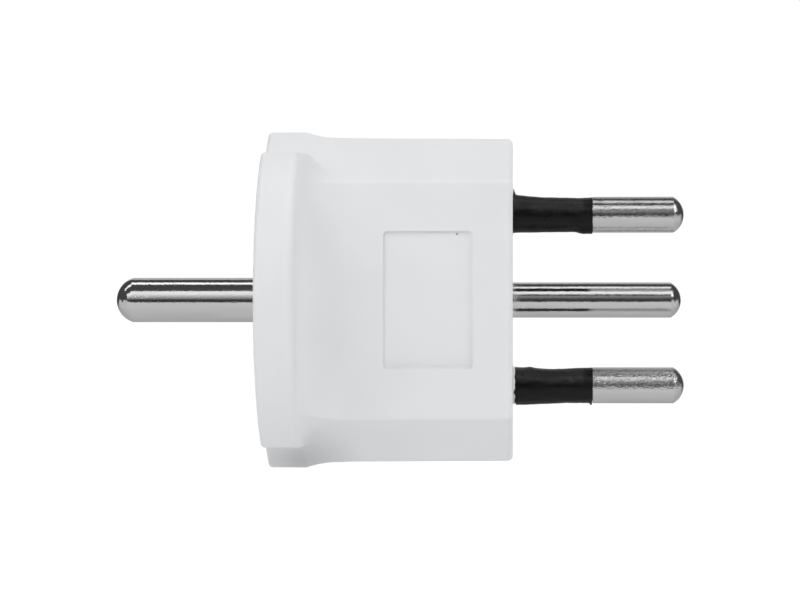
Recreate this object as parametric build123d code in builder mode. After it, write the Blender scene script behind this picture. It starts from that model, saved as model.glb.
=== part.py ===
from build123d import *
import os
from math import hypot, radians, sqrt, tan

# A white plug adapter. One side is a socket for an appliance plug with two round pins, and has an
# earth pin of its own. The other side has three round pins that go into a wall outlet.
# +X runs out along the outlet pins, +Z runs from the neutral pin to the line pin, and -Y is the
# side with the label field. The origin is on the outlet face, midway between line and neutral.

# Pin layout
pin_spacing = 19.0  # line to neutral, the same on both sides of the adapter
outlet_earth_offset = 5.0  # outlet earth pin, behind the line-neutral plane
plug_earth_offset = 10.0  # plug earth pin, in front of the line-neutral plane

# Outlet pins
outlet_pin_d = 4.0
outlet_pin_reach = 19.0  # from the outlet face to the tip
outlet_tip_r = 2.3
pin_core_d = 3.0  # neck of the pin inside the insulating sleeve
collar_d = 5.8  # shoulder of the line and neutral pins behind the front wall
earth_seat_d = 4.4  # outlet earth pin where it sits in the front wall
earth_collar_d = 5.0
collar_thickness = 1.2

# Insulating sleeves
sleeve_reach = 8.9  # from the outlet face to the end of the black sleeve
sleeve_root_d = 4.3
sleeve_waist_d = 3.94
sleeve_end_d = 4.14

# Plug earth pin
plug_earth_d = 4.8
plug_earth_reach = 15.6  # from the socket face to the tip
plug_earth_tip_r = 2.5
plug_earth_seat_d = 5.4  # where it sits in the face plate

# Riveted tails of all pins
tail_d = 2.6
rivet_head_d = 4.2
rivet_head_height = 0.8

# Nose, a six-sided prism that slims towards the outlet face
body_length = 27.3  # socket face to outlet face
nose_thickness = 17.0  # at the outlet face
nose_flat = 25.8  # width of the broad sides
nose_width = 36.4  # across the two ridges, measured to their sharp corners
nose_draft = 0.46  # degrees
nose_corner_r = 0.6
nose_ridge_r = 1.4
outlet_edge_r = 0.6

# Flange
flange_d = 37.46
flange_thickness = 4.3
lobe_span = 32.0  # width of the round lobes, from end to end
lobe_edge_r = 0.6
lobe_back_r = 0.8  # soft edge at the back of the lobes
lobe_root_r = 5.0  # hollow curve from the back of a lobe to the nose
lobe_end_root_length = 4.0  # the same curve at the ends of a lobe, where it is lower
lobe_end_root_height = 2.3
flare_height = 0.6
flare_length = 3.4
socket_edge_r = 0.5

# Label field
label_length = 9.8
label_height = 15.0
label_depth = 0.3
label_corner_r = 0.5
label_from_outlet_face = 4.3

# Inside of the housing
front_wall = 3.0
well_d = 7.8
strap_room = 0.3

# Face plate
plate_thickness = 1.8
plate_d = 33.6
plate_height = 28.2
plate_edge = 0.3
entry_d = 5.3
entry_chamfer = 0.5
collar_tube_depth = 3.0
contact_stop = 0.5  # depth below the plate at which the contact's mouth stops

# Contacts
contact_bore_d = 4.9
contact_wall = 0.65
contact_base = 0.8
contact_relief = 0.2
contact_relief_length = 2.2
slit_width = 0.8
slit_length = 15.0
mouth_chamfer = 0.4
spring_from_mouth = 5.0
spring_width = 1.5
spring_thickness = 0.6
spring_groove = 0.2
spring_gap = 50.0  # degrees

# Earth strap
strap_thickness = 0.8
strap_width = 6.4
strap_leg_offset = 1.2
strap_bend_r = 1.2  # to the middle of the strip
strap_margin = 2.4  # from the axis of a pin to the end of the strap

# Fits
fit_gap = 0.05  # round piece in its hole
plate_gap = 0.1  # plate in its recess
tube_gap = 0.15  # collar tube in its well
same_size = 0.02  # sizes or places closer than this count as equal


def dome_height(sphere_r, edge_r):
    """Height of a domed tip, from the edge where it meets the pin to its top."""
    return sphere_r - sqrt(sphere_r**2 - edge_r**2)


# Places along the pins
face_x = -body_length
plate_back_x = face_x + plate_thickness
strap_back_x = plate_back_x + strap_thickness
flange_back_x = face_x + flange_thickness
collar_x = -front_wall
base_x = collar_x - collar_thickness
base_inside_x = base_x - contact_base
mouth_x = plate_back_x + contact_stop

# Six-sided section at the outlet face: line from a broad side's corner to the ridge
slant_y = nose_thickness / 2
slant_z = (nose_width - nose_flat) / 2
slant_length = hypot(slant_y, slant_z)
slant_normal_y = slant_z / slant_length
slant_normal_z = slant_y / slant_length
slant_distance = nose_width / 2 * slant_normal_z
ridge_z = nose_width / 2 - nose_ridge_r * (1 / slant_normal_z - 1)
draft_slope = tan(radians(nose_draft))

# Places across the pins
half_spacing = pin_spacing / 2
flange_r = flange_d / 2
outside = flange_d  # a length that reaches past every side of the body
strap_plug_end_y = -(plug_earth_offset + strap_margin)
strap_outlet_end_y = outlet_earth_offset + strap_margin
strap_channel_y = strap_leg_offset - strap_bend_r - strap_room
strap_channel_end_y = outlet_earth_offset + max(strap_margin, earth_collar_d / 2) + fit_gap

# Ends of the straight part of the pins, where their domed tips begin
outlet_dome_x = outlet_pin_reach - dome_height(outlet_tip_r, outlet_pin_d / 2)
plug_earth_tip_x = face_x - plug_earth_reach
plug_earth_dome_x = plug_earth_tip_x + dome_height(plug_earth_tip_r, plug_earth_d / 2)
rivet_top_x = base_inside_x - rivet_head_height
rivet_head_r = (rivet_head_d**2 / 4 + rivet_head_height**2) / (2 * rivet_head_height)

# Contact and its spring
contact_outer_r = contact_bore_d / 2 + contact_wall
spring_inner_r = contact_outer_r - spring_groove + fit_gap
spring_x = mouth_x + spring_from_mouth


def side_plane(normal_y, normal_z):
    """Plane along the pins whose second direction is the given side's normal."""
    return Plane((0, 0, 0), x_dir=(1, 0, 0), z_dir=(0, -normal_z, normal_y))


def pin_plane(y, z):
    """Plane through a pin's axis: first direction along the pin, second out from its axis."""
    return Plane((0, y, z), x_dir=(1, 0, 0), z_dir=(0, -1, 0))


def flare_outline(half):
    """Outline of two opposite sides: nose, shallow hollow flare and straight rim."""
    flare_x = flange_back_x + flare_length
    at_flare = half - draft_slope * flare_x
    rim = at_flare + flare_height
    with BuildLine() as outline:
        start = Line((0, -half), (0, half))
        top = Line(start @ 1, (flare_x, at_flare))
        top_flare = TangentArc(top @ 1, (flange_back_x, rim), tangent=top % 1)
        rim_line = Polyline(top_flare @ 1, (face_x, rim), (face_x, -rim), (flange_back_x, -rim))
        bottom = Line(start @ 0, (flare_x, -at_flare))
        TangentArc(bottom @ 1, rim_line @ 1, tangent=bottom % 1)
    return outline.edges()


# Planes and axes of the pins
line_plane = pin_plane(0, half_spacing)
line_axis = Axis(line_plane.origin, line_plane.x_dir)
outlet_earth_plane = pin_plane(outlet_earth_offset, 0)
plug_earth_plane = pin_plane(-plug_earth_offset, 0)

# Two round lobes: a disc cut to the lobes' span, with its back edge rounded and hollowed to the nose
with BuildPart() as lobes:
    with BuildSketch(Plane.YZ.offset(face_x)) as lobe_section:
        Circle(flange_r)
        Rectangle(flange_d, lobe_span, mode=Mode.INTERSECT)
        fillet(lobe_section.vertices(), lobe_edge_r)
    extrude(amount=body_length)
    with BuildSketch(Plane.XZ):
        with BuildLine():
            rounding = RadiusArc(
                (flange_back_x - lobe_back_r, flange_r),
                (flange_back_x, flange_r - lobe_back_r),
                lobe_back_r,
            )
            end_root = EllipticalCenterArc(
                (flange_back_x + lobe_end_root_length, flange_r - lobe_back_r),
                lobe_end_root_length,
                lobe_end_root_height,
                start_angle=180,
                arc_size=90,
            )
            Polyline(
                end_root @ 1,
                (0, flange_r - lobe_back_r - lobe_end_root_height),
                (0, outside),
                (flange_back_x - lobe_back_r, outside),
                rounding @ 0,
            )
        make_face()
    revolve(axis=Axis.X, mode=Mode.SUBTRACT)

# Outline that the housing is trimmed to: a six-sided bar with a shallow flare, and the lobes
with BuildPart() as envelope:
    with BuildSketch(side_plane(0, 1)):
        make_face(flare_outline(ridge_z + same_size))
    extrude(amount=outside, both=True)
    with BuildSketch(side_plane(1, 0)):
        make_face(flare_outline(nose_thickness / 2 + same_size))
    extrude(amount=outside, both=True, mode=Mode.INTERSECT)
    for turn in (1, -1):
        with BuildSketch(side_plane(slant_normal_y * turn, slant_normal_z)):
            make_face(flare_outline(slant_distance + same_size))
        extrude(amount=outside, both=True, mode=Mode.INTERSECT)
    add(lobes.part)

# Housing: the drafted six-sided nose, its hollow root on the flange, all trimmed to the outline
with BuildPart() as housing:
    with BuildSketch(Plane((0, 0, 0), x_dir=(0, 1, 0), z_dir=(-1, 0, 0))) as nose_section:
        with BuildLine():
            Polyline(
                (nose_thickness / 2, nose_flat / 2),
                (0, nose_width / 2),
                (-nose_thickness / 2, nose_flat / 2),
                (-nose_thickness / 2, -nose_flat / 2),
                (0, -nose_width / 2),
                (nose_thickness / 2, -nose_flat / 2),
                close=True,
            )
        make_face()
        fillet(nose_section.vertices().filter_by(lambda v: abs(v.X) > same_size), nose_corner_r)
        fillet(nose_section.vertices().filter_by(lambda v: abs(v.X) < same_size), nose_ridge_r)
    extrude(amount=body_length - flange_thickness, taper=-nose_draft)
    fillet(housing.faces().sort_by(Axis.X)[-1].edges(), outlet_edge_r)
    with BuildSketch(Plane.YZ.offset(face_x)):
        Circle(outside)
    extrude(amount=flange_thickness)
    flange_back = housing.faces().filter_by(lambda f: abs(f.center().X - flange_back_x) < same_size)
    fillet(flange_back[0].inner_wires().edges(), lobe_root_r)
    add(envelope.part, mode=Mode.INTERSECT)
    fillet(housing.faces().sort_by(Axis.X)[0].edges(), socket_edge_r)

    # Shallow field for a label on the near side
    label_y = -nose_thickness / 2 + label_depth
    label_middle_x = -(label_from_outlet_face + label_length / 2)
    with BuildSketch(Plane.XZ.offset(-label_y)):
        with Locations((label_middle_x, 0)):
            RectangleRounded(label_length, label_height, label_corner_r)
    extrude(amount=outside, mode=Mode.SUBTRACT)

    # Recess for the face plate, then the wells for the contacts
    with BuildSketch(Plane.YZ.offset(face_x)):
        Circle(plate_d / 2 + plate_gap)
        Rectangle(plate_d + plate_gap * 2, plate_height + plate_gap * 2, mode=Mode.INTERSECT)
    extrude(amount=plate_thickness, mode=Mode.SUBTRACT)
    with BuildSketch(Plane.YZ.offset(plate_back_x)):
        with Locations((0, half_spacing), (0, -half_spacing)):
            Circle(well_d / 2)
    extrude(amount=collar_x - plate_back_x, mode=Mode.SUBTRACT)

    # Room for the earth strap: a slot under the plate, a channel down the nose, a rivet pocket
    with BuildSketch(Plane.YZ.offset(plate_back_x)):
        with Locations((strap_plug_end_y - strap_room, 0)):
            Rectangle(
                strap_channel_y - strap_plug_end_y + strap_room,
                strap_width + strap_room * 2,
                align=(Align.MIN, Align.CENTER),
            )
    extrude(amount=strap_thickness, mode=Mode.SUBTRACT)
    with BuildSketch(Plane.YZ.offset(plate_back_x)):
        with Locations((strap_channel_y, 0)):
            Rectangle(
                strap_channel_end_y - strap_channel_y,
                strap_width + strap_room * 2,
                align=(Align.MIN, Align.CENTER),
            )
    extrude(amount=collar_x - plate_back_x, mode=Mode.SUBTRACT)
    with BuildSketch(Plane.YZ.offset(strap_back_x)):
        with Locations((-plug_earth_offset, 0)):
            Circle(rivet_head_d / 2 + strap_room)
    extrude(amount=rivet_head_height + fit_gap, mode=Mode.SUBTRACT)

    # Holes for the pins in the front wall
    with BuildSketch(Plane.YZ.offset(collar_x)):
        with Locations((0, half_spacing), (0, -half_spacing)):
            Circle(sleeve_root_d / 2 + fit_gap)
        with Locations((outlet_earth_offset, 0)):
            Circle(earth_seat_d / 2 + fit_gap)
    extrude(amount=front_wall, mode=Mode.SUBTRACT)

# Face plate with its two pin entries, a tube behind each entry, and the hole for the plug earth pin
with BuildPart() as face_plate:
    with BuildSketch(Plane.YZ.offset(face_x)):
        Circle(plate_d / 2)
        Rectangle(plate_d, plate_height, mode=Mode.INTERSECT)
    extrude(amount=plate_thickness)
    chamfer(face_plate.faces().sort_by(Axis.X)[0].edges(), plate_edge)
    with BuildSketch(Plane.YZ.offset(plate_back_x)):
        with Locations((0, half_spacing), (0, -half_spacing)):
            Circle(well_d / 2 - tube_gap)
    extrude(amount=collar_tube_depth)
    with BuildSketch(Plane.YZ.offset(mouth_x)):
        with Locations((0, half_spacing), (0, -half_spacing)):
            Circle(contact_bore_d / 2 + contact_wall + fit_gap)
    extrude(amount=collar_tube_depth, mode=Mode.SUBTRACT)
    with BuildSketch(Plane.YZ.offset(face_x)):
        with Locations((0, half_spacing), (0, -half_spacing)):
            Circle(entry_d / 2)
    extrude(amount=plate_thickness + collar_tube_depth, mode=Mode.SUBTRACT)
    entries = face_plate.faces().sort_by(Axis.X)[0].inner_wires().edges()
    chamfer(entries, entry_chamfer)
    with BuildSketch(Plane.YZ.offset(face_x)):
        with Locations((-plug_earth_offset, 0)):
            Circle(plug_earth_seat_d / 2 + fit_gap)
    extrude(amount=plate_thickness, mode=Mode.SUBTRACT)

# Line pin: domed tip, neck inside the sleeve, shoulder behind the front wall and riveted tail
with BuildPart() as line_pin:
    with BuildSketch(line_plane):
        with BuildLine():
            head = RadiusArc((rivet_top_x, 0), (base_inside_x, rivet_head_d / 2), rivet_head_r)
            shank = Polyline(
                head @ 1,
                (base_inside_x, tail_d / 2),
                (base_x, tail_d / 2),
                (base_x, collar_d / 2),
                (collar_x, collar_d / 2),
                (collar_x, pin_core_d / 2),
                (sleeve_reach, pin_core_d / 2),
                (sleeve_reach, outlet_pin_d / 2),
                (outlet_dome_x, outlet_pin_d / 2),
            )
            tip = RadiusArc(shank @ 1, (outlet_pin_reach, 0), outlet_tip_r)
            Line(tip @ 1, head @ 0)
        make_face()
    revolve(axis=line_axis)

with BuildPart() as neutral_pin:
    mirror(line_pin.part, about=Plane.XY)

# Insulating sleeve: seated in the front wall, drawn in to a slight waist outside it
with BuildPart() as line_pin_sleeve:
    with BuildSketch(line_plane):
        with BuildLine():
            seat = Polyline(
                (sleeve_reach, pin_core_d / 2),
                (collar_x, pin_core_d / 2),
                (collar_x, sleeve_root_d / 2),
                (0, sleeve_root_d / 2),
            )
            waist = ThreePointArc(
                seat @ 1,
                (sleeve_reach / 2, sleeve_waist_d / 2),
                (sleeve_reach, sleeve_end_d / 2),
            )
            Line(waist @ 1, seat @ 0)
        make_face()
    revolve(axis=line_axis)

with BuildPart() as neutral_pin_sleeve:
    mirror(line_pin_sleeve.part, about=Plane.XY)

# Outlet earth pin: bare along its whole length, riveted to the foot of the earth strap
with BuildPart() as outlet_earth_pin:
    with BuildSketch(outlet_earth_plane):
        with BuildLine():
            head = RadiusArc((rivet_top_x, 0), (base_inside_x, rivet_head_d / 2), rivet_head_r)
            shank = Polyline(
                head @ 1,
                (base_inside_x, tail_d / 2),
                (base_x, tail_d / 2),
                (base_x, earth_collar_d / 2),
                (collar_x, earth_collar_d / 2),
                (collar_x, earth_seat_d / 2),
                (0, earth_seat_d / 2),
                (0, outlet_pin_d / 2),
                (outlet_dome_x, outlet_pin_d / 2),
            )
            tip = RadiusArc(shank @ 1, (outlet_pin_reach, 0), outlet_tip_r)
            Line(tip @ 1, head @ 0)
        make_face()
    revolve(axis=Axis(outlet_earth_plane.origin, outlet_earth_plane.x_dir))

# Plug earth pin: stands out of the socket face, shouldered on the strap and riveted behind it
with BuildPart() as plug_earth_pin:
    with BuildSketch(plug_earth_plane):
        with BuildLine():
            tip_start = (plug_earth_tip_x, 0)
            tip_end = (plug_earth_dome_x, plug_earth_d / 2)
            tip = RadiusArc(tip_start, tip_end, plug_earth_tip_r)
            shank = Polyline(
                tip @ 1,
                (face_x, plug_earth_d / 2),
                (face_x, plug_earth_seat_d / 2),
                (plate_back_x, plug_earth_seat_d / 2),
                (plate_back_x, tail_d / 2),
                (strap_back_x, tail_d / 2),
                (strap_back_x, rivet_head_d / 2),
            )
            head = RadiusArc(shank @ 1, (strap_back_x + rivet_head_height, 0), rivet_head_r)
            Line(head @ 1, tip @ 0)
        make_face()
    revolve(axis=Axis(plug_earth_plane.origin, plug_earth_plane.x_dir))

# Contact: slotted brass cup riveted to the line pin, with a groove for its spring
with BuildPart() as line_contact:
    with BuildSketch(line_plane):
        with BuildLine():
            Polyline(
                (base_x, tail_d / 2),
                (base_x, contact_outer_r),
                (spring_x + spring_width / 2, contact_outer_r),
                (spring_x + spring_width / 2, contact_outer_r - spring_groove),
                (spring_x - spring_width / 2, contact_outer_r - spring_groove),
                (spring_x - spring_width / 2, contact_outer_r),
                (mouth_x, contact_outer_r),
                (mouth_x, contact_bore_d / 2 + mouth_chamfer),
                (mouth_x + mouth_chamfer, contact_bore_d / 2),
                (base_inside_x - contact_relief_length, contact_bore_d / 2),
                (base_inside_x - contact_relief_length, contact_bore_d / 2 + contact_relief),
                (base_inside_x, contact_bore_d / 2 + contact_relief),
                (base_inside_x, tail_d / 2),
                close=True,
            )
        make_face()
    revolve(axis=line_axis)
    with BuildSketch(line_plane):
        with Locations((mouth_x, 0)):
            Rectangle(slit_length, slit_width, align=(Align.MIN, Align.CENTER))
    extrude(amount=contact_outer_r, both=True, mode=Mode.SUBTRACT)

with BuildPart() as neutral_contact:
    mirror(line_contact.part, about=Plane.XY)

# Contact spring: an open steel ring in the contact's groove
with BuildPart() as line_contact_spring:
    with BuildSketch(Plane((spring_x, 0, half_spacing), x_dir=(0, 1, 0), z_dir=(1, 0, 0))):
        Circle(spring_inner_r + spring_thickness)
        Circle(spring_inner_r, mode=Mode.SUBTRACT)
        gap_reach = (spring_inner_r + spring_thickness) * 2
        gap_half = gap_reach * tan(radians(spring_gap / 2))
        with BuildLine():
            Polyline((0, 0), (gap_half, gap_reach), (-gap_half, gap_reach), close=True)
        make_face(mode=Mode.SUBTRACT)
    extrude(amount=(spring_width - fit_gap * 2) / 2, both=True)

with BuildPart() as neutral_contact_spring:
    mirror(line_contact_spring.part, about=Plane.XY)

# Earth strap: a strip bent twice, from the plug earth pin under the plate to the outlet earth pin
with BuildPart() as earth_strap:
    with BuildSketch(Plane.XY):
        with BuildLine():
            FilletPolyline(
                (plate_back_x + strap_thickness / 2, strap_plug_end_y),
                (plate_back_x + strap_thickness / 2, strap_leg_offset),
                (base_x - strap_thickness / 2, strap_leg_offset),
                (base_x - strap_thickness / 2, strap_outlet_end_y),
                radius=strap_bend_r,
            )
        trace(line_width=strap_thickness)
    extrude(amount=strap_width / 2, both=True)
    with BuildSketch(Plane.YZ.offset(face_x)):
        with Locations((-plug_earth_offset, 0), (outlet_earth_offset, 0)):
            Circle(tail_d / 2)
    extrude(amount=body_length, mode=Mode.SUBTRACT)

pieces = {
    "housing": housing,
    "face_plate": face_plate,
    "line_pin": line_pin,
    "neutral_pin": neutral_pin,
    "line_pin_sleeve": line_pin_sleeve,
    "neutral_pin_sleeve": neutral_pin_sleeve,
    "outlet_earth_pin": outlet_earth_pin,
    "plug_earth_pin": plug_earth_pin,
    "line_contact": line_contact,
    "neutral_contact": neutral_contact,
    "line_contact_spring": line_contact_spring,
    "neutral_contact_spring": neutral_contact_spring,
    "earth_strap": earth_strap,
}
os.makedirs("parts", exist_ok=True)
for name, piece in pieces.items():
    piece.part.label = name
    export_step(piece.part, f"parts/{name}.step")
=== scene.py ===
import math

import bmesh
import bpy
from mathutils import Matrix, Vector, noise


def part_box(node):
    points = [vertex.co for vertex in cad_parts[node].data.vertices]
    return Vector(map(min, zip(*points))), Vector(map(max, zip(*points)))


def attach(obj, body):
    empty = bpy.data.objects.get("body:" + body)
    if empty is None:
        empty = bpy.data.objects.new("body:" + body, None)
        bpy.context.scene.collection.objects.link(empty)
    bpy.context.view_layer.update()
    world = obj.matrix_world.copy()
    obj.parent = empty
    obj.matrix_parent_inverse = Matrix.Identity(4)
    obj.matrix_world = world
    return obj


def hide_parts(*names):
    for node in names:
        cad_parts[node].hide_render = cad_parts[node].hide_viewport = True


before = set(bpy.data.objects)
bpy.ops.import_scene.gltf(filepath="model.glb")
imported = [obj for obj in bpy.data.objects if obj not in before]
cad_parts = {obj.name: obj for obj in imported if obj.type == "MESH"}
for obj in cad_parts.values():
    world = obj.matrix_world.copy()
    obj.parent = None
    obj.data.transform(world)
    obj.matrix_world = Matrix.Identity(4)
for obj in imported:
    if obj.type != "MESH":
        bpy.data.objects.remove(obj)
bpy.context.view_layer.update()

MM = 0.001
WHITE = (1.0, 1.0, 1.0, 1.0)

# Camera: it stands level with the pins, straight in front of the outlet face, and turns a little left
CAMERA_PLACE = Vector((0.0, -292.0, 0.0)) * MM
CAMERA_AIM = Vector((-12.6, 0.0, 0.0)) * MM
LENS = 117.6
SENSOR = 36.0
CLIP_NEAR = 0.01
CLIP_FAR = 10.0

# Pale table below the part, which hangs in the air because its pins hold it in use. It is painted greyer
# right below the part as a painted shade, and turns white with a painted glow between two distances from
# the part's origin. Lengths in metres.
FLOOR_Z = -55.0 * MM
FLOOR_HALF = 0.62
FLOOR_NEAR = 0.05
FLOOR_FAR = 0.18
FLOOR_PAINTED_SHADE = (0.60, 0.605, 0.61)
FLOOR_AWAY = (0.82, 0.83, 0.84)
FLOOR_PAINTED_GLOW = 0.75
FLOOR_ROUGHNESS = 0.9

# White surround
BACKDROP_RADIUS = 3.2
BACKDROP_GLOW = 1.02
BACKDROP_SEGMENTS = 48
BACKDROP_RINGS = 24

# Long light cards round the axis of the pins, in metres. Elevations in degrees: 0 is towards the camera
# and 90 straight up. Each card runs from its first elevation and radiance to its second ones. The outlet
# pins mirror the right-hand cards and the plug earth pin the left-hand ones. The two far tables carry the
# table's light on past the ends of the other cards.
CARD_HALF_LENGTH = 1.1
CARD_FAR_END = 5.0
CARD_PARTING = -0.06
CARD_DISTANCE = 0.65
CARD_STEPS = 6
EVERYWHERE = (-CARD_HALF_LENGTH, CARD_HALF_LENGTH)
LEFT = (-CARD_HALF_LENGTH, CARD_PARTING)
RIGHT = (CARD_PARTING, CARD_HALF_LENGTH)
FAR_LEFT = (-CARD_FAR_END, -CARD_HALF_LENGTH)
FAR_RIGHT = (CARD_HALF_LENGTH, CARD_FAR_END)
MIDDLE = (-0.30, 0.30)
CARDS = (
    ("table_bounce", EVERYWHERE, -170.0, -12.0, 0.39, 0.63),
    ("left_table", FAR_LEFT, -180.0, -2.0, 0.55, 0.55),
    ("right_table", FAR_RIGHT, -180.0, -2.0, 0.55, 0.55),
    ("front_flag", EVERYWHERE, -12.0, 3.0, 0.03, 0.05),
    ("left_rise", LEFT, 3.0, 27.0, 0.10, 0.75),
    ("left_softbox", LEFT, 27.0, 46.0, 0.92, 1.0),
    ("right_rise", RIGHT, 10.0, 28.0, 0.12, 0.30),
    ("right_softbox", RIGHT, 38.0, 57.0, 0.90, 1.1),
    ("left_overhead", LEFT, 88.0, 102.0, 1.3, 1.3),
    ("right_overhead", RIGHT, 83.0, 97.0, 1.0, 1.0),
    ("back_wall", MIDDLE, 130.0, 180.0, 0.5, 0.5),
)
STUDIO_DIM = 0.06

# Soft lamps that light the plastic: azimuth from the camera towards +X and elevation in degrees, then
# distance and size in metres, and power
LAMPS = (
    ("lamp_top", 0.0, 80.0, 0.30, 0.30, 0.085),
    ("lamp_key", -24.0, 14.0, 0.40, 0.10, 0.18),
    ("lamp_below", 0.0, -65.0, 0.30, 0.20, 0.235),
    ("lamp_right", 75.0, 0.0, 0.40, 0.30, 0.10),
    ("lamp_right_high", 60.0, 35.0, 0.40, 0.30, 0.57),
    ("lamp_left_high", -60.0, 35.0, 0.40, 0.30, 0.51),
    ("lamp_back_right", 130.0, 12.0, 0.40, 0.30, 0.50),
    ("lamp_back_left", -150.0, 12.0, 0.40, 0.30, 0.40),
)

# Lamps that glossy surfaces mirror too
MIRRORED_LAMPS = ("lamp_key", "lamp_right_high")

# Middle of the housing, at which the lamps are aimed
BODY_CENTRE = Vector((-12.0, 0.0, 0.0)) * MM

# Black flag, which keeps the light from below off the lower tab
FLAG_PLACE = Vector((-23.1, -6.7, -26.6)) * MM
FLAG_HALF_WIDTH = 3.4 * MM
FLAG_HALF_DEPTH = 3.5 * MM
FLAG_BLACK = (0.02, 0.02, 0.02, 1.0)

# Tubes round a pin: facets, and the angle in degrees from which an edge stays sharp
TUBE_SEGMENTS = 120
SHARP_ANGLE = 50.0

# Insulating sleeves, in millimetres: drawn in to a waist, with a slight band at the end
SLEEVE_BORE_R = 1.5
SLEEVE_ROOT_R = 2.15
SLEEVE_WAIST_R = 1.94
SLEEVE_END_R = 2.02
SLEEVE_BAND = 0.8
SLEEVE_BAND_DEPTH = 0.025
SLEEVE_STATIONS = 110

# Uneven skin of the sleeves, as layers of depth and feature size, and their wavy ends, in millimetres
SKIN_WAVES = ((0.03, 1.3), (0.012, 0.4))
END_WAVE_DEPTH = 0.06
END_WAVE_SIZE = 1.2

# Marks on the sleeves: height, place and spread along the pin in millimetres, then angle and spread
# round the pin in degrees, where 0 is towards the camera and 90 up
LINE_SLEEVE_MARKS = (
    (0.74, 0.05, 0.19, 90.0, 30.0),
    (0.10, 0.60, 1.70, 90.0, 60.0),
    (-0.07, 7.60, 1.60, 90.0, 50.0),
    (0.15, 7.65, 0.50, -84.0, 36.0),
    (0.15, 8.35, 0.50, -84.0, 36.0),
    (0.10, 8.85, 0.30, -84.0, 36.0),
    (-0.13, 0.20, 1.60, -88.0, 40.0),
    (-0.09, 7.05, 0.26, -52.0, 20.0),
    (0.08, 6.30, 0.80, -44.0, 8.0),
    (0.07, 3.70, 0.14, -28.0, 14.0),
    (-0.06, 3.92, 0.13, -36.0, 16.0),
)
NEUTRAL_SLEEVE_MARKS = (
    (-0.10, 0.40, 0.90, 88.0, 44.0),
    (0.08, 1.95, 0.40, 88.0, 44.0),
    (-0.12, 4.20, 2.20, 90.0, 50.0),
    (0.145, 2.80, 3.60, -88.0, 40.0),
    (0.22, 8.70, 0.13, -85.0, 34.0),
    (0.06, 2.60, 0.18, 20.0, 14.0),
    (-0.05, 6.60, 0.26, 24.0, 12.0),
)

# Gap between the body and a sleeve, in millimetres, with a ragged edge: share of the gap and feature size
LINE_GAP = 0.0
NEUTRAL_GAP = 0.2
GAP_START = 0.01
GAP_RAG_SHARE = 1.3
GAP_RAG_SIZE = 0.8

# White flash in the neutral sleeve's gap, in millimetres: a ring with a ragged edge, a wavy outside and a
# sloping shoulder. The outside's waves are read from the noise at a place of their own.
FLASH_R = 2.1
FLASH_INSIDE_R = 2.0
FLASH_REACH = 0.24
FLASH_RAG_SHARE = 0.4
FLASH_RAG_SIZE = 0.7
FLASH_WAVE_DEPTH = 0.03
FLASH_WAVE_SIZE = 0.8
FLASH_WAVE_PLACE = 1.0
FLASH_SHOULDER_SHARE = 0.8
FLASH_SHOULDER_DROP = 0.04

# Seeds of the uneven shapes
LINE_SEED = 3.7
NEUTRAL_SEED = 11.3
FLASH_SEED = 5.1

# Span that most values of a noise texture lie in
NOISE_LOW = 0.3
NOISE_HIGH = 0.7

# Dark fleck near a corner of the recessed field: full inside its core and gone past its radius
FLECK_PLACE = Vector((-6.05, -8.2, 7.17)) * MM
FLECK_CORE = 0.075 * MM
FLECK_RADIUS = 0.15 * MM
FLECK_COLOUR = (0.25, 0.25, 0.25)

# Painted sheen on the sleeves, a lighter colour on faces that point up, where the light from above falls:
# how far up the skin faces where it starts and where it is full, the places along the pin between which it
# fades, and the share that is lost there. The streaks reach their lightest a little above the noise's usual
# span.
PAINTED_SHEEN_RISE = (0.1, 0.5)
PAINTED_SHEEN_FADE = (7.7 * MM, 8.0 * MM)
PAINTED_SHEEN_LOSS = 0.8
STREAK_HIGH = 0.75

# Plated pins: node, material, strength of the scuffs and roughness
PLATED_PINS = (
    ("line_pin", "nickel_line", 0.85, 0.14),
    ("neutral_pin", "nickel_neutral", 1.5, 0.17),
    ("outlet_earth_pin", "nickel_outlet_earth", 0.4, 0.10),
    ("plug_earth_pin", "nickel_plug_earth", 0.25, 0.09),
)


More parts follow.
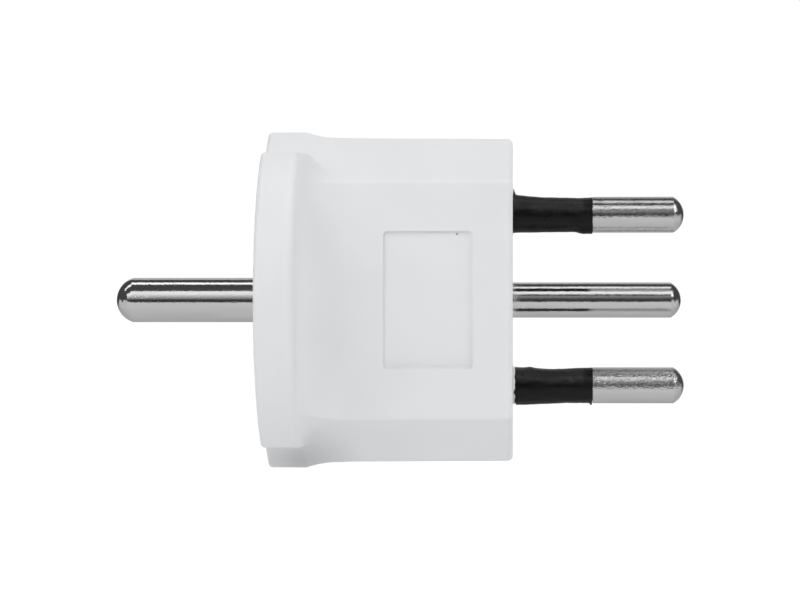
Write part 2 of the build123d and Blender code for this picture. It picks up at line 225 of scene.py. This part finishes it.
class Surface:
    """Principled material with textures in the part's own millimetres."""

    def __init__(self, name):
        self.material = bpy.data.materials.new(name)
        self.material.use_nodes = True
        self.nodes = self.material.node_tree.nodes
        self.links = self.material.node_tree.links
        self.shader = self.nodes["Principled BSDF"]
        self.coords = self.nodes.new("ShaderNodeTexCoord")

    def set(self, **values):
        """Set plain values on the shader's own sockets."""
        for name, value in values.items():
            self.shader.inputs[name.replace("_", " ")].default_value = value

    def noise(self, size, detail=2.0):
        """Noise whose features have this size in millimetres along X, Y and Z."""
        place = self.nodes.new("ShaderNodeMapping")
        place.inputs["Scale"].default_value = [1 / (extent * MM) for extent in size]
        texture = self.nodes.new("ShaderNodeTexNoise")
        texture.inputs["Scale"].default_value = 1.0
        texture.inputs["Detail"].default_value = detail
        self.links.new(self.coords.outputs["Object"], place.inputs["Vector"])
        self.links.new(place.outputs["Vector"], texture.inputs["Vector"])
        return texture.outputs["Fac"]

    def axis(self, kind, axis):
        """One axis of the texture coordinates of this kind."""
        split = self.nodes.new("ShaderNodeSeparateXYZ")
        self.links.new(self.coords.outputs[kind], split.inputs["Vector"])
        return split.outputs[axis]

    def distance(self, place):
        """Distance from a place, in metres."""
        away = self.nodes.new("ShaderNodeVectorMath")
        away.operation = "DISTANCE"
        away.inputs[1].default_value = place
        self.links.new(self.coords.outputs["Object"], away.inputs[0])
        return away.outputs["Value"]

    def span(self, value, low, high, first=NOISE_LOW, last=NOISE_HIGH):
        """Number that runs from low to high while the value goes from first to last."""
        span = self.nodes.new("ShaderNodeMapRange")
        span.inputs["From Min"].default_value = first
        span.inputs["From Max"].default_value = last
        span.inputs["To Min"].default_value = low
        span.inputs["To Max"].default_value = high
        self.links.new(value, span.inputs["Value"])
        return span.outputs["Result"]

    def ramp(self, value, low, high, first=NOISE_LOW, last=NOISE_HIGH):
        """Colour that runs from low to high while the value goes from first to last."""
        ramp = self.nodes.new("ShaderNodeValToRGB")
        start, end = ramp.color_ramp.elements
        start.position = first
        start.color = (*low, 1)
        end.position = last
        end.color = (*high, 1)
        self.links.new(value, ramp.inputs["Fac"])
        return ramp.outputs["Color"]

    def mix(self, share, first, second):
        """Blend of two varying colours by a varying share."""
        mix = self.nodes.new("ShaderNodeMixRGB")
        self.links.new(share, mix.inputs["Fac"])
        self.links.new(first, mix.inputs["Color1"])
        self.links.new(second, mix.inputs["Color2"])
        return mix.outputs["Color"]

    def fleck(self, colour, place, core, radius, dark):
        """Colour with one small dark fleck at a place on the part."""
        mix = self.nodes.new("ShaderNodeMixRGB")
        mix.inputs["Color2"].default_value = (*dark, 1)
        share = self.span(self.distance(place), 1.0, 0.0, core, radius)
        self.links.new(share, mix.inputs["Fac"])
        self.links.new(colour, mix.inputs["Color1"])
        return mix.outputs["Color"]

    def colour(self, value):
        """Give the shader a varying colour."""
        self.links.new(value, self.shader.inputs["Base Color"])

    def roughness(self, value):
        """Give the shader a varying roughness."""
        self.links.new(value, self.shader.inputs["Roughness"])

    def glow(self, value):
        """Give the shader a varying glow."""
        self.links.new(value, self.shader.inputs["Emission Strength"])

    def bump(self, *layers):
        """Stack of bumps, each a height and its depth in millimetres."""
        normal = None
        for height, depth in layers:
            bump = self.nodes.new("ShaderNodeBump")
            bump.inputs["Strength"].default_value = 1.0
            bump.inputs["Distance"].default_value = depth * MM
            self.links.new(height, bump.inputs["Height"])
            if normal is not None:
                self.links.new(normal, bump.inputs["Normal"])
            normal = bump.outputs["Normal"]
        self.links.new(normal, self.shader.inputs["Normal"])


def grey(value):
    """Neutral colour of this value."""
    return (value, value, value)


def card_point(elevation, distance, along):
    """Point at an elevation round the pins' axis, at a distance from it and a place along it."""
    angle = math.radians(elevation)
    return Vector((along, -math.cos(angle) * distance, math.sin(angle) * distance))


def new_object(name, data):
    """Link a new object with this data to the scene."""
    made = bpy.data.objects.new(name, data)
    bpy.context.scene.collection.objects.link(made)
    return made


def flat_sheet(name, half_width, half_depth, height):
    """Level rectangle at this height."""
    mesh = bpy.data.meshes.new(name)
    corners = [(-1, -1), (1, -1), (1, 1), (-1, 1)]
    points = [(x * half_width, y * half_depth, height) for x, y in corners]
    mesh.from_pydata(points, [], [(0, 1, 2, 3)])
    return new_object(name, mesh)


def show_camera_only(surround):
    """Keep a stage piece out of the light and the reflections."""
    surround.visible_diffuse = False
    surround.visible_glossy = False
    surround.visible_transmission = False
    surround.visible_shadow = False


def emission_material(name, low, high):
    """Glow that runs from low to high along the v coordinate."""
    material = bpy.data.materials.new(name)
    material.use_nodes = True
    nodes = material.node_tree.nodes
    links = material.node_tree.links
    nodes.clear()
    out = nodes.new("ShaderNodeOutputMaterial")
    glow = nodes.new("ShaderNodeEmission")
    coords = nodes.new("ShaderNodeUVMap")
    split = nodes.new("ShaderNodeSeparateXYZ")
    ramp = nodes.new("ShaderNodeMapRange")
    ramp.inputs["To Min"].default_value = low
    ramp.inputs["To Max"].default_value = high
    links.new(coords.outputs["UV"], split.inputs["Vector"])
    links.new(split.outputs["Y"], ramp.inputs["Value"])
    links.new(ramp.outputs["Result"], glow.inputs["Strength"])
    links.new(glow.outputs["Emission"], out.inputs["Surface"])
    return material


def build_card(name, ends, first, second, low, high):
    """Card along the pins' axis between two elevations; only reflections and light see it."""
    mesh = bpy.data.meshes.new(name)
    shape = bmesh.new()
    uv = shape.loops.layers.uv.new("UVMap")
    rows = []
    for step in range(CARD_STEPS + 1):
        elevation = first + (second - first) * step / CARD_STEPS
        rows.append([shape.verts.new(card_point(elevation, CARD_DISTANCE, end)) for end in ends])
    for step in range(CARD_STEPS):
        corners = (*rows[step], rows[step + 1][1], rows[step + 1][0])
        face = shape.faces.new(corners)
        for loop, v in zip(face.loops, (step, step, step + 1, step + 1)):
            loop[uv].uv = (0.0, v / CARD_STEPS)
    shape.to_mesh(mesh)
    shape.free()
    card = new_object(name, mesh)
    mesh.materials.append(emission_material(name, low, high))
    card.visible_camera = False


def build_floor():
    """Pale table that the camera sees; its bounce light comes from a card of its own."""
    floor = flat_sheet("floor", FLOOR_HALF, FLOOR_HALF, FLOOR_Z)
    surface = Surface("pale_table")
    surface.set(Roughness=FLOOR_ROUGHNESS, Emission_Color=WHITE)
    away = surface.span(surface.distance((0.0, 0.0, 0.0)), 0.0, 1.0, FLOOR_NEAR, FLOOR_FAR)
    # Painted shade right below the part, and a painted glow that grows away from it
    surface.colour(surface.ramp(away, FLOOR_PAINTED_SHADE, FLOOR_AWAY, 0.0, 1.0))
    surface.glow(surface.span(away, 0.0, FLOOR_PAINTED_GLOW, 0.0, 1.0))
    floor.data.materials.append(surface.material)
    show_camera_only(floor)


def build_backdrop():
    """White surround that only the camera sees."""
    mesh = bpy.data.meshes.new("backdrop")
    shape = bmesh.new()
    bmesh.ops.create_uvsphere(
        shape,
        u_segments=BACKDROP_SEGMENTS,
        v_segments=BACKDROP_RINGS,
        radius=BACKDROP_RADIUS,
    )
    shape.to_mesh(mesh)
    shape.free()
    backdrop = new_object("backdrop", mesh)
    mesh.materials.append(emission_material("backdrop", BACKDROP_GLOW, BACKDROP_GLOW))
    show_camera_only(backdrop)


def build_lamp(name, azimuth, elevation, distance, size, power):
    """Soft square lamp, aimed at the body; only some of them are mirrored."""
    light = bpy.data.lights.new(name, "AREA")
    light.shape = "SQUARE"
    light.size = size
    light.energy = power
    lamp = new_object(name, light)
    turn = Matrix.Rotation(math.radians(azimuth), 4, "Z")
    lamp.location = BODY_CENTRE + turn @ card_point(elevation, distance, 0.0)
    lamp.rotation_euler = (BODY_CENTRE - lamp.location).to_track_quat("-Z", "Y").to_euler()
    lamp.visible_camera = False
    lamp.visible_glossy = name in MIRRORED_LAMPS


def build_flag():
    """Small black flag that neither the camera nor the reflections see."""
    flag = flat_sheet("tab_flag", FLAG_HALF_WIDTH, FLAG_HALF_DEPTH, 0.0)
    flag.location = FLAG_PLACE
    surface = Surface("flag_black")
    surface.set(Base_Color=FLAG_BLACK)
    flag.data.materials.append(surface.material)
    flag.visible_camera = False
    flag.visible_glossy = False


def build_room():
    """Dim white room, shown without a tone curve."""
    world = bpy.data.worlds.new("studio")
    world.use_nodes = True
    background = world.node_tree.nodes["Background"]
    background.inputs["Color"].default_value = WHITE
    background.inputs["Strength"].default_value = STUDIO_DIM
    scene = bpy.context.scene
    scene.world = world
    scene.view_settings.view_transform = "Standard"
    scene.view_settings.look = "None"


def build_studio():
    """Table, surround, light cards, lamps, flag and room."""
    build_floor()
    build_backdrop()
    for card in CARDS:
        build_card(*card)
    for lamp in LAMPS:
        build_lamp(*lamp)
    build_flag()
    build_room()


def build_camera():
    """Camera at the photograph's place and angle."""
    camera = new_object("camera", bpy.data.cameras.new("camera"))
    camera.data.lens = LENS
    camera.data.sensor_width = SENSOR
    camera.data.clip_start = CLIP_NEAR
    camera.data.clip_end = CLIP_FAR
    camera.location = CAMERA_PLACE
    camera.rotation_euler = (CAMERA_AIM - CAMERA_PLACE).to_track_quat("-Z", "Y").to_euler()
    bpy.context.scene.camera = camera


def build_tube(name, axis_z, section):
    """Closed tube round a pin; section(angle) lists the (place, radius) corners of its section."""
    points = []
    for step in range(TUBE_SEGMENTS):
        angle = math.tau * step / TUBE_SEGMENTS
        corners = section(angle)
        for along, radius in corners:
            around = card_point(math.degrees(angle), radius * MM, along * MM)
            points.append(around + Vector((0.0, 0.0, axis_z)))
    faces = []
    count = len(corners)
    for step in range(TUBE_SEGMENTS):
        here = step * count
        there = (step + 1) % TUBE_SEGMENTS * count
        for place in range(count):
            after = (place + 1) % count
            faces.append((here + place, here + after, there + after, there + place))
    mesh = bpy.data.meshes.new(name)
    mesh.from_pydata(points, [], faces)
    shape = bmesh.new()
    shape.from_mesh(mesh)
    bmesh.ops.recalc_face_normals(shape, faces=shape.faces)
    shape.to_mesh(mesh)
    shape.free()
    mesh.shade_smooth()
    mesh.set_sharp_from_angle(angle=math.radians(SHARP_ANGLE))
    return new_object(name, mesh)


def around_pin(angle, along, size, seed):
    """Seeded noise on a pin's skin, with features of this size in millimetres."""
    place = Vector((along, math.cos(angle) * SLEEVE_ROOT_R, math.sin(angle) * SLEEVE_ROOT_R))
    return noise.noise(place / size + Vector((seed, 0.0, 0.0)))


def skin_height(angle, along, seed):
    """Height of a sleeve's uneven skin at this angle and place."""
    return sum(depth * around_pin(angle, along, size, seed) for depth, size in SKIN_WAVES)


def mark_height(angle, along, marks):
    """Height of a sleeve's marks at this angle and place."""
    total = 0.0
    for height, place, spread, mark_angle, mark_spread in marks:
        turn = math.degrees(angle) - mark_angle
        turn = (turn + 180.0) % 360.0 - 180.0
        total += height * math.exp(-(((along - place) / spread) ** 2) - (turn / mark_spread) ** 2)
    return total


def sleeve_radius(along, reach):
    """Plain outer radius: a waist between the body and the end, then the end band."""
    share = along / reach
    bow = SLEEVE_ROOT_R + SLEEVE_END_R - 2 * SLEEVE_WAIST_R
    radius = SLEEVE_ROOT_R + (SLEEVE_END_R - SLEEVE_ROOT_R) * share - 2 * bow * share * (1 - share)
    if along > reach - SLEEVE_BAND:
        radius -= SLEEVE_BAND_DEPTH
    return radius


def build_sleeve(name, node, material, marks, gap, seed):
    """Black sleeve in place of its CAD node, with the folds and lips of a hand-fitted one."""
    low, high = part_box(node)
    start = low[0] / MM
    reach = high[0] / MM

    def section(angle):
        corners = [(start, SLEEVE_BORE_R), (start, SLEEVE_ROOT_R), (0.0, SLEEVE_ROOT_R)]
        ragged = gap * (1.0 + GAP_RAG_SHARE * around_pin(angle, 0.0, GAP_RAG_SIZE, seed))
        if gap:
            corners += [(GAP_START, FLASH_INSIDE_R), (ragged, FLASH_INSIDE_R)]
        wavy_end = reach - END_WAVE_DEPTH * (1.0 + around_pin(angle, reach, END_WAVE_SIZE, seed))
        for station in range(1, SLEEVE_STATIONS + 1):
            along = ragged + (wavy_end - ragged) * station / SLEEVE_STATIONS
            radius = sleeve_radius(along, reach) + skin_height(angle, along, seed)
            corners.append((along, radius + mark_height(angle, along, marks)))
        corners.append((wavy_end, SLEEVE_BORE_R))
        return corners

    sleeve = build_tube(name, (low[2] + high[2]) / 2, section)
    sleeve.data.materials.append(material)
    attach(sleeve, "root")
    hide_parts(node)


def build_flash(name, node, material, seed):
    """Thin white ring of moulding flash at the root of a sleeve."""
    low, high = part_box(node)

    def section(angle):
        reach = FLASH_REACH * (1.0 + FLASH_RAG_SHARE * around_pin(angle, 0.0, FLASH_RAG_SIZE, seed))
        wave = around_pin(angle, FLASH_WAVE_PLACE, FLASH_WAVE_SIZE, seed)
        radius = FLASH_R + FLASH_WAVE_DEPTH * wave
        return [
            (0.0, FLASH_INSIDE_R),
            (0.0, radius),
            (reach * FLASH_SHOULDER_SHARE, radius),
            (reach, radius - FLASH_SHOULDER_DROP),
            (reach, FLASH_INSIDE_R),
        ]

    ring = build_tube(name, (low[2] + high[2]) / 2, section)
    ring.data.materials.append(material)
    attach(ring, "root")


def white_plastic():
    """Satin moulded plastic: faint clouding, fine spark-eroded grain, one dark fleck."""
    surface = Surface("white_plastic")
    surface.set(IOR=1.5, Specular_IOR_Level=0.4)
    clouds = surface.noise(size=(11.0, 9.0, 9.0), detail=3.0)
    white = surface.ramp(clouds, low=(0.845, 0.855, 0.872), high=(0.875, 0.883, 0.896))
    surface.colour(surface.fleck(white, FLECK_PLACE, FLECK_CORE, FLECK_RADIUS, FLECK_COLOUR))
    patches = surface.noise(size=(1.6, 1.6, 1.6))
    surface.roughness(surface.span(patches, low=0.44, high=0.56))
    grain = surface.noise(size=(0.16, 0.16, 0.16), detail=3.0)
    sinks = surface.noise(size=(3.5, 3.5, 3.5))
    surface.bump((grain, 0.004), (sinks, 0.02))
    return surface.material


def black_plastic():
    """Insulating sleeve: black and streaked, with a painted sheen on top that stops at the end band."""
    surface = Surface("black_plastic")
    surface.set(IOR=1.5, Specular_IOR_Level=0.27)
    streaks = surface.noise(size=(2.6, 0.5, 0.5), detail=4.0)
    bare = surface.ramp(streaks, low=grey(0.001), high=grey(0.005), last=STREAK_HIGH)
    # Painted sheen: faces that point up get the lighter colour, standing in for the light from above, and
    # it fades on the end band
    painted_sheen = surface.ramp(streaks, low=grey(0.016), high=grey(0.034), last=STREAK_HIGH)
    sheen_on_top = surface.span(surface.axis("Normal", "Z"), 0.0, 1.0, *PAINTED_SHEEN_RISE)
    end_band = surface.span(surface.axis("Object", "X"), 0.0, PAINTED_SHEEN_LOSS, *PAINTED_SHEEN_FADE)
    surface.colour(surface.mix(sheen_on_top, bare, surface.mix(end_band, painted_sheen, bare)))
    smears = surface.noise(size=(0.9, 0.3, 0.3), detail=3.0)
    surface.roughness(surface.span(smears, low=0.26, high=0.44))
    wrinkles = surface.noise(size=(1.2, 0.3, 0.3), detail=4.0)
    grain = surface.noise(size=(0.12, 0.12, 0.12))
    surface.bump((wrinkles, 0.03), (grain, 0.004))
    return surface.material


def nickel_plate(name, scuff, roughness):
    """Plated pin: scuffed lengthwise by outlet contacts, more on the pins that carry current."""
    surface = Surface(name)
    surface.set(Metallic=1.0)
    tone = surface.noise(size=(5.0, 1.2, 1.2), detail=3.0)
    surface.colour(surface.ramp(tone, low=grey(0.77), high=(0.83, 0.83, 0.825)))
    speckle = surface.noise(size=(0.5, 0.12, 0.12), detail=3.0)
    surface.roughness(surface.span(speckle, low=0.7 * roughness, high=1.4 * roughness))
    scratches = surface.noise(size=(1.8, 0.10, 0.10), detail=4.0)
    pits = surface.noise(size=(0.22, 0.17, 0.17))
    surface.bump((scratches, 0.003 * scuff), (pits, 0.030 * scuff))
    return surface.material


def contact_brass():
    """Stamped brass of the contacts and the strap."""
    surface = Surface("contact_brass")
    surface.set(Metallic=1.0)
    tarnish = surface.noise(size=(2.0, 0.8, 0.8), detail=3.0)
    surface.colour(surface.ramp(tarnish, low=(0.60, 0.43, 0.19), high=(0.74, 0.56, 0.28)))
    smears = surface.noise(size=(0.8, 0.2, 0.2))
    surface.roughness(surface.span(smears, low=0.24, high=0.42))
    scratches = surface.noise(size=(1.0, 0.15, 0.15), detail=3.0)
    surface.bump((scratches, 0.006))
    return surface.material


def spring_steel():
    """Bright spring steel of the contact rings, drawn round them."""
    surface = Surface("spring_steel")
    surface.set(Metallic=1.0)
    tone = surface.noise(size=(0.4, 1.2, 1.2), detail=3.0)
    surface.colour(surface.ramp(tone, low=(0.42, 0.42, 0.43), high=(0.56, 0.56, 0.57)))
    smears = surface.noise(size=(0.2, 0.6, 0.6))
    surface.roughness(surface.span(smears, low=0.22, high=0.36))
    scratches = surface.noise(size=(0.1, 0.6, 0.6), detail=3.0)
    surface.bump((scratches, 0.004))
    return surface.material


def dress(material, *nodes):
    """Give CAD nodes their finished material."""
    for node in nodes:
        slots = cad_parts[node].data.materials
        slots.clear()
        slots.append(material)


build_camera()
build_studio()

plastic = white_plastic()
black = black_plastic()
dress(plastic, "housing", "face_plate")
dress(contact_brass(), "line_contact", "neutral_contact", "earth_strap")
dress(spring_steel(), "line_contact_spring", "neutral_contact_spring")
for pin, finish, scuff, roughness in PLATED_PINS:
    dress(nickel_plate(finish, scuff, roughness), pin)
build_sleeve("line_sleeve", "line_pin_sleeve", black, LINE_SLEEVE_MARKS, LINE_GAP, LINE_SEED)
build_sleeve("neutral_sleeve", "neutral_pin_sleeve", black, NEUTRAL_SLEEVE_MARKS, NEUTRAL_GAP, NEUTRAL_SEED)
build_flash("neutral_flash", "neutral_pin_sleeve", plastic, FLASH_SEED)
